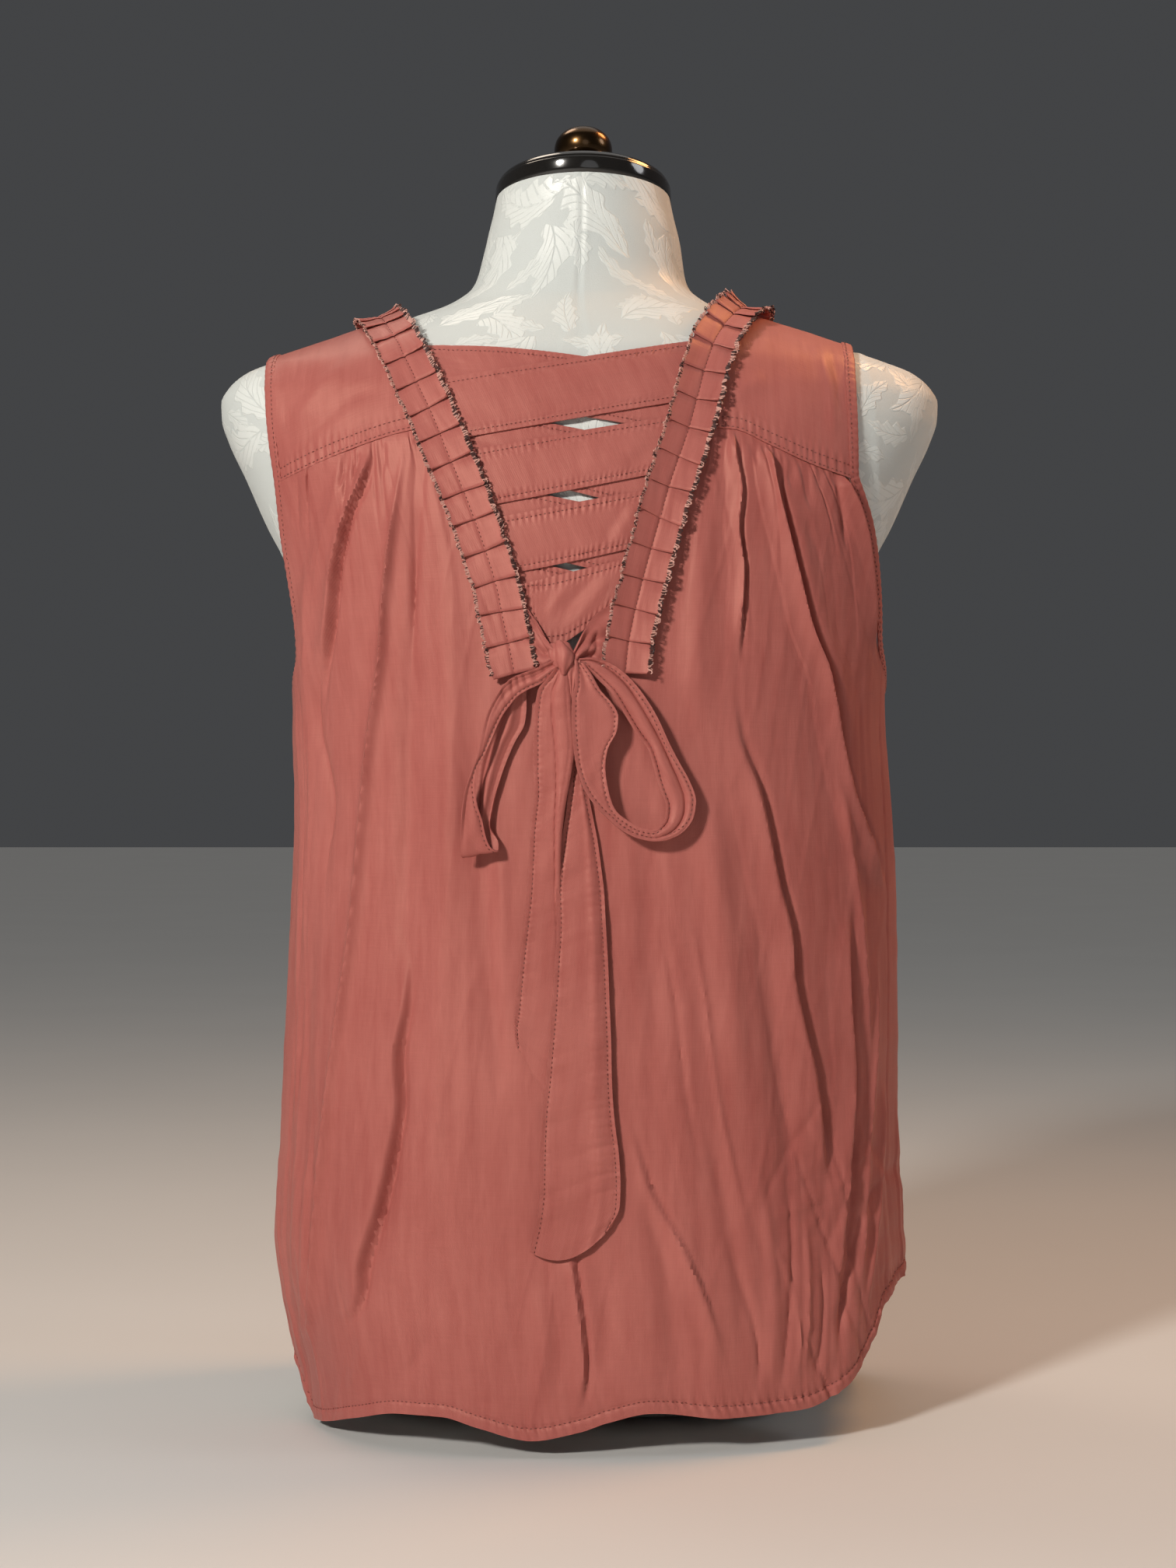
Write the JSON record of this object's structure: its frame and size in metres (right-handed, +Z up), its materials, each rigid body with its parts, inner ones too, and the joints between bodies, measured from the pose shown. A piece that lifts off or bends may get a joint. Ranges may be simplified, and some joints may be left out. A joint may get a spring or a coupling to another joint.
{
  "type": "ruffled blouse on dress form",
  "caption": "Sleeveless blouse with ruffles beside a deep back V, crossed straps and a tied bow, worn by a padded limbless dress form with neck cap and knob.",
  "frame": {"origin": "on the dress form's flat underside, at the middle of its width and under the axis of its torso", "axes": "+Z up the form; the blouse's back, with the V and the bow, faces -Y; the wearer's right side is +X"},
  "size_m": [0.419, 0.2773, 0.7489],
  "materials": {
    "blouse_cloth": "satin",
    "form_cover": "damask weave",
    "cap_gloss": "gloss",
    "knob_bronze": "dark antique bronze, polished"
  },
  "bodies": {
    "root": {"back_body": "blouse_cloth", "front_body": "blouse_cloth", "yoke_left": "blouse_cloth", "yoke_right": "blouse_cloth", "armhole_left": "blouse_cloth", "armhole_right": "blouse_cloth", "ruffle_left": "blouse_cloth", "ruffle_right": "blouse_cloth", "strap_l1": "blouse_cloth", "strap_l2": "blouse_cloth", "strap_l3": "blouse_cloth", "strap_l4": "blouse_cloth", "strap_r1": "blouse_cloth", "strap_r2": "blouse_cloth", "strap_r3": "blouse_cloth", "strap_r4": "blouse_cloth", "tie_left": "blouse_cloth", "tie_right": "blouse_cloth", "bow_knot": "blouse_cloth", "bow_loop_left": "blouse_cloth", "bow_loop_right": "blouse_cloth", "tail_left": "blouse_cloth", "tail_right": "blouse_cloth", "form_torso": "form_cover", "form_cap": "cap_gloss", "form_knob": "knob_bronze"}
  },
  "joints": []
}
